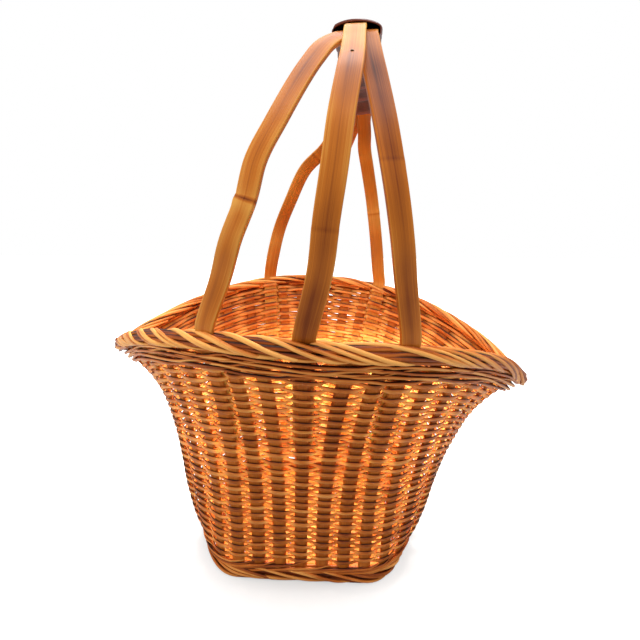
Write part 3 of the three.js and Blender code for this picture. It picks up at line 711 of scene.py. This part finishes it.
def make_border():
    turn = ring_turns(RING_SAMPLES)
    for r, (outward, upward) in enumerate(RIM_CORES):
        weave = CORE_WANDER * np.sin(2 * math.pi * turn * 3 + r)
        rise = CORE_WANDER * np.sin(2 * math.pi * turn * 2 + 2 * r)
        path, out = on_wall(turn, RIM_AXIS, outward * mm + weave, upward * mm + rise)
        path[:, 2] -= tip_droop(turn)
        tone = chance.uniform(0.25, 0.5) + 0.12 * np.sin(2 * math.pi * turn * 1.5 + 3 * r)
        piece = swept(f"border_core_{r + 1}", path, out, round_section(*RIM_CORE_SECTION),
                      border_willow, closed=True,
                      tone=tone[:, None] + CREASE_SHADE_TONES / 2)
        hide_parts("rim_border")
    spacing = rim_run[-1] / RIM_PAIRS
    for p in range(RIM_PAIRS):
        lift = chance.uniform(*RIM_LIFTS) * mm
        for q in range(2):
            radius = chance.uniform(*RIM_RADII) * mm
            start = spacing * (p + 0.22 * q) + chance.uniform(*ROD_SHIFTS) * mm
            first_turn = np.interp(start, rim_run, line_turns)
            near_right = smooth(first_turn, 0.1, 0.4) * (1 - smooth(first_turn, 0.8, 1))
            # Rods are longer everywhere but on the near left
            longer = 1.4 - 0.4 * smooth(first_turn, 2.9, 3.1)
            length = chance.uniform(*RIM_LENGTHS) * mm * longer
            slanted_rod(f"border_rod_{2 * p + q + 1:02d}", "rim_border", rim_run, start, length,
                        angles=(RIM_ANGLES[0] + chance.uniform(-10, 10), RIM_ANGLES[1]),
                        roll=RIM_ROLL,
                        radius=radius, lift=lift,
                        # Pale tones on the rim's rods are painted light from above; they are darker
                        # on the near right
                        tone=chance.uniform(0.6, 1.1) - 0.3 * near_right,
                        blunt=chance.random() < 0.3)


def make_tip_ends():
    """Cut rod ends that stand out past the left tip of the mouth."""
    turn = np.linspace(*TIP_END_TURNS, 14)
    steps = np.linspace(0.2, 1, 6)[:, None]
    for r, (outward, upward, reach) in enumerate(TIP_ENDS):
        path, out = on_wall(turn, RIM_AXIS, outward * mm, upward * mm)
        ahead = np.array([-1, -0.25 + 0.12 * r, -0.1 + 0.1 * r])
        path = np.vstack([path, path[-1] + unit(ahead) * reach * mm * steps])
        out = np.vstack([out, np.repeat(out[-1:], len(steps), axis=0)])
        tone = np.linspace(0.55, 0.2, len(path))
        piece = swept(f"tip_end_{r + 1}", path, out, round_section(*TIP_END_SECTION),
                      border_willow, tone=tone[:, None] + CREASE_SHADE_TONES / 3)
        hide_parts("rim_border")


# Foot border
def make_foot():
    turn = ring_turns(RING_SAMPLES)
    for r, height in enumerate(FOOT_CORES):
        path, out = on_wall(turn, height / RIM_MM, (1 - FOOT_CORE_LEAN * r) * mm)
        path[:, 2] = np.maximum(path[:, 2], FOOT_CLEARANCE)
        piece = swept(f"foot_core_{r + 1}", path, out, round_section(*FOOT_CORE_SECTION),
                      border_willow, closed=True, tone=chance.uniform(0.1, 0.3))
        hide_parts("foot_border")
    spacing = foot_run[-1] / FOOT_RODS
    for p in range(FOOT_RODS):
        start = spacing * p + chance.uniform(*ROD_SHIFTS) * mm
        slanted_rod(f"foot_rod_{p + 1:02d}", "foot_border", foot_run, start,
                    length=chance.uniform(*FOOT_LENGTHS) * mm,
                    angles=(FOOT_ANGLES[0] + chance.uniform(-8, 8), FOOT_ANGLES[1]),
                    roll=FOOT_ROLL, radius=chance.uniform(*FOOT_RADII) * mm,
                    lift=chance.uniform(*FOOT_LIFTS) * mm,
                    tone=chance.uniform(0.25, 0.75), blunt=chance.random() < 0.5)
    # A second layer above it rises the other way
    spacing = foot_run[-1] / UPPER_FOOT_RODS
    s = np.linspace(0, 1, 24)
    start_drop = UPPER_FOOT_OUT - UPPER_FOOT_START
    outward = UPPER_FOOT_OUT - start_drop * (1 - smooth(s, 0, 0.2))
    outward = outward - UPPER_FOOT_OUT * smooth(s, 0.85, 1)
    thick = 1 - 0.35 * smooth(s, 0.6, 1)
    for p in range(UPPER_FOOT_RODS):
        start = spacing * p + chance.uniform(*UPPER_FOOT_SHIFTS) * mm
        length = chance.uniform(*UPPER_FOOT_LENGTHS) * mm
        turn = np.interp(np.mod(start + length * s, foot_run[-1]), foot_run, line_turns)
        height = chance.uniform(*UPPER_FOOT_HEIGHTS) + chance.uniform(*UPPER_FOOT_RISES) * s
        path, out = on_wall(turn, height / RIM_MM, outward)
        tone = chance.uniform(0.3, 0.7) - 0.25 * (1 - smooth(s, 0, 0.25))
        piece = swept(f"foot_wale_{p + 1:02d}", path, out, round_section(*UPPER_FOOT_SECTION),
                      border_willow, scale=thick,
                      tone=tone[:, None] + CREASE_SHADE_TONES / 2)
        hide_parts("foot_border")


# Bottom, a plain weave of splints
def half_chord(across, half_along, half_across, corner):
    """Half the length of a splint that lies this far across the rounded bottom."""
    over = max(0, abs(across) - (half_across - corner))
    return half_along - corner + math.sqrt(max(0, corner ** 2 - over ** 2))


def make_bottom():
    lengthwise = (BOTTOM_HALF_LENGTH, BOTTOM_HALF_WIDTH)
    crosswise = (BOTTOM_HALF_WIDTH, BOTTOM_HALF_LENGTH)
    for axis, (half_along, half_across) in enumerate([lengthwise, crosswise]):
        pitch = 2 * half_across / BOTTOM_SPLINTS
        cross_pitch = 2 * half_along / BOTTOM_SPLINTS
        for k in range(BOTTOM_SPLINTS):
            across = -half_across + pitch * (k + 0.5)
            reach = half_chord(abs(across) + pitch / 4, half_along, half_across, BOTTOM_CORNER)
            s = np.linspace(-reach, reach, 73)
            wave = np.cos(math.pi * ((s + half_along) / cross_pitch - 0.5))
            height = BOTTOM_HEIGHT + BOTTOM_WAVE * wave * (1 if (k + axis) % 2 else -1)
            place = np.full(len(s), across)
            path = np.stack([s, place, height] if axis == 0 else [place, s, height], axis=-1)
            up = np.tile([0.0, 0.0, 1.0], (len(s), 1))
            section = splint_section(pitch * BOTTOM_SPLINT_SHARE, -BOTTOM_HALF_THICKNESS,
                                     BOTTOM_HALF_THICKNESS)
            piece = swept(f"bottom_splint_{'xy'[axis]}_{k + 1:02d}", path, up, section,
                          riven_splint, tone=chance.uniform(0.35, 0.6))
            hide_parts("bottom_mat")


# Handle
def spline(points, share):
    """A point on a centripetal curve through the points, as in the solids."""
    last = len(points) - 1
    place = share * last
    i = min(int(math.floor(place)), last - 1)
    s = place - i
    p1 = points[i]
    p2 = points[i + 1]
    p0 = points[i - 1] if i > 0 else 2 * points[0] - points[1]
    p3 = points[i + 2] if i + 2 <= last else 2 * points[last] - points[last - 1]
    d0, d1, d2 = (math.sqrt(np.linalg.norm(b - a)) for a, b in ((p0, p1), (p1, p2), (p2, p3)))
    t1 = ((p1 - p0) / d0 - (p2 - p0) / (d0 + d1) + (p2 - p1) / d1) * d1
    t2 = ((p2 - p1) / d1 - (p3 - p1) / (d1 + d2) + (p3 - p2) / d2) * d1
    c2 = -3 * p1 + 3 * p2 - 2 * t1 - t2
    c3 = 2 * p1 - 2 * p2 + t1 + t2
    return p1 + t1 * s + c2 * s * s + c3 * s ** 3


def spline_tangent(points, share):
    low = max(0, share - 0.0001)
    high = min(1, share + 0.0001)
    return unit(spline(points, high) - spline(points, low))


crown_points = [
    np.array([BODY_LEAN + HANDLE_SHIFT * x, MOUTH_HALF_WIDTH * y,
              RIM_HEIGHT + HANDLE_HEIGHT * z - STRIP_THICKNESS / 2])
    for x, y, z in CROWN
]


def crown_frame(share):
    rise = spline_tangent(crown_points, share)
    side = unit(np.array([rise[1], -rise[0], 0]))
    return spline(crown_points, share), side, rise, unit(np.cross(side, rise))


def leg_line(turn):
    """A leg's points inside the wall, from its foot up to the rim."""
    middle = -STAKE_THICKNESS / 2 - 2 * GAP - STRIP_THICKNESS / 2
    levels = np.linspace(LEG_FOOT + 2 * GAP / RIM_HEIGHT, 1, 16)
    point, side, _, out = wall_frame(np.full(len(levels), turn), levels)
    return list(point + out * middle), list(side)


def free_line(before, after, table, foot_x, crown_x, steps=8):
    points = [np.array([foot_x + (crown_x - foot_x) * x, MOUTH_HALF_WIDTH * y,
                        RIM_HEIGHT + HANDLE_HEIGHT * z]) for x, y, z in table]
    points = [before[-2], before[-1], *points, after[0], after[1]]
    last = len(points) - 1
    total = (last - 2) * steps
    return [spline(points, (1 + i / steps) / last) for i in range(1, total)]


def strip_path(near_turn, far_turn, near_table, far_table, across, outward):
    """The whole path of a strip and its sideways directions, from near foot to far foot."""
    near, near_side = leg_line(near_turn)
    far, far_side = leg_line(far_turn)
    far = far[::-1]
    far_side = [-side for side in far_side[::-1]]
    crown_steps = 4
    shares = np.linspace(0, 1, (len(CROWN) - 1) * crown_steps + 1)
    frames = [crown_frame(share) for share in shares]
    crown = [point + side * across + out * outward for point, side, _, out in frames]
    crown_side = [side for _, side, _, _ in frames]
    crown_x = BODY_LEAN + HANDLE_SHIFT + across
    coarse = crown[::crown_steps]
    rise_line = free_line(near, coarse, near_table, near[-1][0], crown_x)
    fall_line = free_line(coarse, far, far_table, far[0][0], crown_x)
    blend = [smooth((i + 1) / (len(rise_line) + 1), 0, 1) for i in range(len(rise_line))]
    rise_side = [near_side[-1] * (1 - b) + crown_side[0] * b for b in blend]
    blend = [smooth((i + 1) / (len(fall_line) + 1), 0, 1) for i in range(len(fall_line))]
    fall_side = [crown_side[-1] * (1 - b) + far_side[0] * b for b in blend]
    path = np.array(near + rise_line + crown + fall_line + far)
    sides = np.array(near_side + rise_side + crown_side + fall_side + far_side)
    return path, sides


def strip_section():
    """A planed strip: rounded edges, the outer face a little crowned."""
    half = STRIP_WIDTH / 2
    back = -STRIP_THICKNESS / 2
    front = STRIP_THICKNESS / 2
    edge = STRIP_EDGE
    return [
        (back + edge, -half), (front - edge, -half), (front - 0.25 * edge, -half + 0.3 * edge),
        (front, -half + 1.2 * edge), (front + STRIP_CROWN, 0), (front, half - 1.2 * edge),
        (front - 0.25 * edge, half - 0.3 * edge), (front - edge, half), (back + edge, half),
        (back, half - edge), (back, 0), (back, -half + edge),
    ]


def node_bumps(run, nodes):
    """Swelling and darkening along a strip at the joints of the cane, places in metres."""
    swell = np.zeros(len(run))
    dark = np.zeros(len(run))
    for place, strength in nodes:
        away = (run - place) / mm
        swell += strength * (np.exp(-(away / 3.2) ** 2) - 0.5 * np.exp(-((away - 4.5) / 2.2) ** 2))
        dark += strength * (np.exp(-((away - 2.6) / 1.3) ** 2) - 0.35 * np.exp(-(away / 6) ** 2))
    return swell, dark


def evened(path, sides, step):
    """The same line with points at an even distance."""
    run = run_along(path)
    even = np.linspace(0, run[-1], int(run[-1] / step))
    path = np.stack([np.interp(even, run, path[:, k]) for k in range(3)], axis=-1)
    sides = np.stack([np.interp(even, run, sides[:, k]) for k in range(3)], axis=-1)
    return path, sides, even


def make_handle():
    low = -(STRIP_THICKNESS + GAP) / 2
    aside = (STRIP_WIDTH + GAP) / 2
    long_wave = 31 * mm
    short_wave = 13 * mm
    # Name, near and far turn, near and far line, place across and outward over the crown,
    # joints as distance from the near foot in metres and strength, tones
    strips = [
        ("middle", 0, FAR_MIDDLE, NEAR_MIDDLE, FAR_MIDDLE_LINE, 0, -low,
         [(0.19, 0.25)], MIDDLE_TONE_AND_LIGHT),
        ("left", -SIDE_LEG, 2 + SIDE_LEG, NEAR_LEFT, FAR_LEFT, -aside, low,
         [(0.207, 1.1), (0.62, 0.5)], LEFT_TONE_AND_LIGHT),
        ("right", SIDE_LEG, 2 - SIDE_LEG, NEAR_RIGHT, FAR_RIGHT, aside, low,
         [(0.232, 0.25), (0.665, 0.6)], RIGHT_TONE_AND_LIGHT),
    ]
    for strip in strips:
        label, near_turn, far_turn, near_table, far_table, across, outward, nodes, tones = strip
        path, sides = strip_path(near_turn, far_turn, near_table, far_table, across, outward)
        path, sides, run = evened(path, sides, STRIP_STEP)
        rise = unit(np.gradient(path, axis=0))
        out = unit(np.cross(sides, rise))
        swell, dark = node_bumps(run, nodes)
        path = path + out * (JOINT_SWELL * swell)[:, None]
        seed = chance.uniform(0, 9)
        slow = 0.05 * np.sin(run / long_wave + seed) + 0.05 * np.sin(run / short_wave + 2 * seed)
        # The tones along the strip carry painted light and shade, and its rounded edges painted
        # highlights
        base = np.interp(run / run[-1], TONE_SHARES, tones)
        tone = (base + slow - 0.45 * dark)[:, None] + EDGE_HIGHLIGHT_TONES
        piece = swept(f"bamboo_strip_{label}", path, out, strip_section(), steamed_bamboo,
                      scale=1 + 0.035 * swell, tone=tone)
        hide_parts(f"handle_strip_{label}")


# Leather grip, a strap wound round the crown of the handle
def grip_outline(angle, thickness):
    """The wound section: arched over the middle strip, flatter below. Across and outward."""
    c = math.cos(angle)
    s = math.sin(angle)
    half_width = STRIP_WIDTH + GAP + GRIP_SIDE + thickness
    height = GRIP_HEIGHT + thickness
    if s >= 0:
        return half_width * c, height * s
    return half_width * math.copysign(abs(c) ** 0.6, c), -height * abs(s) ** 0.5


def make_grip():
    around = 40
    lengthwise = 150
    steps = 400
    shares = np.linspace(0, 1, steps + 1)
    crown_run = run_along([crown_frame(i / steps)[0] for i in range(steps + 1)])
    start, end = np.interp(GRIP_ENDS, shares, crown_run)
    points = []
    tones = []
    for layer in (1, 0):
        for i in range(lengthwise + 1):
            for j in range(around):
                angle = 2 * math.pi * j / around
                top = math.sin(angle)
                ragged = RAGGED * math.sin(3 * angle + 1) + FINE_RAGGED * math.sin(7 * angle)
                first = start - NEAR_END_RISE * top - NEAR_END_SLANT * math.cos(angle) + ragged
                last = end + FAR_END_SLANT * math.cos(angle + 0.6) + ragged - FAR_END_SLANT
                place = first + (last - first) * i / lengthwise
                share = np.interp(place, crown_run, shares)
                point, side, _, out = crown_frame(share)
                lap = (place / LAP_PITCH + j / around + 0.04 * math.sin(4 * angle)) % 1
                ridge = 0.35 + 0.65 * smooth(lap, 0, 0.9) * (1 - smooth(lap, 0.93, 1))
                thickness = layer * LEATHER * ridge
                across, outward = grip_outline(angle, thickness)
                points.append(point + side * across + out * outward)
                # Painted light and shade on the laps: lighter towards each raised edge as a
                # highlight, darker in the step under the next lap, and lighter on the first rings
                # of the near end as a highlight
                tones.append(0.5 + 0.4 * smooth(lap, 0.6, 0.9) - 0.5 * smooth(lap, 0.92, 1)
                             - 0.4 * (1 - smooth(lap, 0, 0.1)) + 0.4 * (i < 3))
    faces = []
    uvs = []
    layer_size = (lengthwise + 1) * around
    for i in range(lengthwise):
        for j in range(around):
            after = (j + 1) % around
            a = i * around + j
            b = i * around + after
            faces.append((a, b, b + around, a + around))
            faces.append(tuple(layer_size + v for v in (a, a + around, b + around, b)))
            uvs += [(i, j), (i, j + 1), (i + 1, j + 1), (i + 1, j)]
            uvs += [(i, j), (i + 1, j), (i + 1, j + 1), (i, j + 1)]
    last_ring = lengthwise * around
    for j in range(around):
        after = (j + 1) % around
        faces.append((after, j, layer_size + j, layer_size + after))
        faces.append((last_ring + j, last_ring + after,
                      layer_size + last_ring + after, layer_size + last_ring + j))
        uvs += [(0, j), (0, j), (1, j), (1, j)] * 2
    piece = mesh_piece("leather_grip", points, faces, uvs, tones, stained_leather)
    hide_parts("grip_wrap")


# Nail on the middle strip
def make_nail():
    """A low domed head, cut from a ball."""
    path, sides = strip_path(0, FAR_MIDDLE, NEAR_MIDDLE, FAR_MIDDLE_LINE, 0,
                             (STRIP_THICKNESS + GAP) / 2)
    i = int(np.argmin(np.linalg.norm(path - NAIL_PLACE, axis=1)))
    rise = unit(path[i + 1] - path[i - 1])
    out = unit(np.cross(sides[i], rise))
    place = path[i] + out * (STRIP_THICKNESS / 2 + GAP)
    bpy.ops.object.select_all(action="DESELECT")
    bpy.ops.mesh.primitive_uv_sphere_add(segments=28, ring_count=16, radius=NAIL_RADIUS)
    nail = bpy.context.active_object
    nail.name = "nail_head"
    bpy.ops.object.mode_set(mode="EDIT")
    bpy.ops.mesh.select_all(action="SELECT")
    bpy.ops.mesh.bisect(plane_co=(0, 0, 0.2 * NAIL_RADIUS), plane_no=(0, 0, 1), use_fill=True,
                        clear_inner=True)
    bpy.ops.object.mode_set(mode="OBJECT")
    nail.scale = (1, 1, 0.6)
    bpy.ops.object.transform_apply(location=False, rotation=False, scale=True)
    nail.location = Vector(place) - Vector(out) * 0.12 * NAIL_RADIUS
    nail.rotation_euler = Vector(out).to_track_quat("Z", "Y").to_euler()
    bpy.ops.object.transform_apply(location=True, rotation=True, scale=False)
    bpy.ops.object.shade_smooth_by_angle(angle=math.radians(50))
    nail.data.materials.append(blackened_brass)
    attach(nail, "root")
    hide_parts("brad_near")


make_stakes()
make_rows()
make_wale()
make_border()
make_tip_ends()
make_foot()
make_bottom()
make_handle()
make_grip()
make_nail()


# Studio
def make_floor():
    bpy.ops.object.select_all(action="DESELECT")
    bpy.ops.mesh.primitive_plane_add(size=FLOOR_SIZE, location=(0, 0, 0))
    sheet = bpy.context.active_object
    sheet.name = "floor"
    sheet.data.materials.append(floor_material())


def area_light(name, place, target, size, power, shown):
    data = bpy.data.lights.new(name, "AREA")
    data.shape = "RECTANGLE"
    data.size = size[0]
    data.size_y = size[1]
    data.energy = power
    lamp = bpy.data.objects.new(name, data)
    bpy.context.scene.collection.objects.link(lamp)
    lamp.visible_camera = False
    lamp.visible_glossy = shown
    lamp.location = place
    lamp.rotation_euler = (Vector(target) - Vector(place)).to_track_quat("-Z", "Y").to_euler()


def make_studio():
    world = bpy.data.worlds.new("white_studio")
    bpy.context.scene.world = world
    world.use_nodes = True
    tree = world.node_tree
    background = tree.nodes["Background"]
    background.inputs["Color"].default_value = linear("ffffff")
    path = add(tree, "ShaderNodeLightPath")
    strength = add(tree, "ShaderNodeMapRange", {"To Min": 0.6, "To Max": 1.0},
                   {"Value": path.outputs["Is Camera Ray"]})
    tree.links.new(strength.outputs["Result"], background.inputs["Strength"])
    for light in LIGHTS:
        area_light(*light)


def make_camera():
    bpy.context.scene.view_settings.view_transform = "Standard"
    data = bpy.data.cameras.new("camera")
    data.sensor_width = SENSOR_WIDTH
    data.lens = SENSOR_WIDTH * FOCAL_PIXELS / PICTURE_PIXELS
    data.shift_y = CAMERA_SHIFT
    data.clip_start = 0.01
    camera = bpy.data.objects.new("camera", data)
    bpy.context.scene.collection.objects.link(camera)
    camera.location = CAMERA_PLACE
    camera.rotation_euler = (math.pi / 2 - CAMERA_DIP, 0, CAMERA_TURN)
    bpy.context.scene.camera = camera


make_floor()
make_studio()
make_camera()
